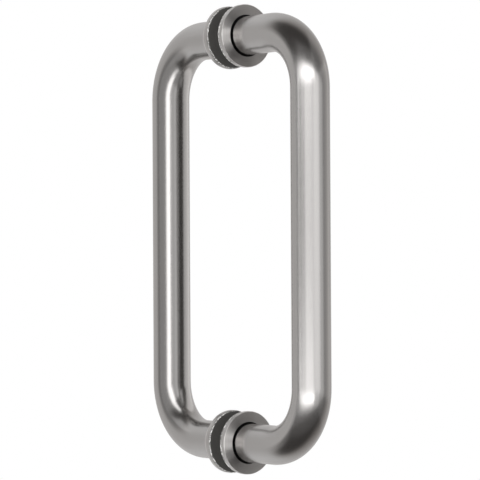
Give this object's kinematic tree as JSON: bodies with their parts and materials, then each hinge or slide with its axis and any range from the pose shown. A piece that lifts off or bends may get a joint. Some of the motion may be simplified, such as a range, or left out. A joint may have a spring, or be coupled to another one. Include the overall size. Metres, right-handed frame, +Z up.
{
  "type": "shower door handle",
  "caption": "Back-to-back handle for a glass shower door: C-shaped tube pulls clamped through the glass with washers and gaskets, satin nickel.",
  "frame": {"origin": "midway between the two fixing axes, in the middle of the glass", "axes": "+Z up along the grips, +Y through the glass from the front pull to the rear pull, +X along the width of the door"},
  "size_m": [0.031, 0.131, 0.231],
  "materials": {
    "satin_nickel": "satin nickel, finely brushed along the tube and turned on the washers",
    "stainless_steel": "plain machined stainless steel",
    "plug_steel": "turned steel with a black oxide finish",
    "gasket_vinyl": "soft dark vinyl with a lighter rim",
    "sleeve_plastic": "natural white nylon"
  },
  "bodies": {
    "root": {"front_lower_gasket": "gasket_vinyl", "front_lower_insert": "plug_steel", "front_lower_washer": "satin_nickel", "front_pull": "satin_nickel", "front_upper_gasket": "gasket_vinyl", "front_upper_insert": "plug_steel", "front_upper_washer": "satin_nickel", "lower_glass_sleeve": "sleeve_plastic", "lower_set_screw": "stainless_steel", "lower_stud": "stainless_steel", "rear_lower_gasket": "gasket_vinyl", "rear_lower_insert": "plug_steel", "rear_lower_washer": "satin_nickel", "rear_pull": "satin_nickel", "rear_upper_gasket": "gasket_vinyl", "rear_upper_insert": "plug_steel", "rear_upper_washer": "satin_nickel", "upper_glass_sleeve": "sleeve_plastic", "upper_set_screw": "stainless_steel", "upper_stud": "stainless_steel"}
  },
  "joints": []
}
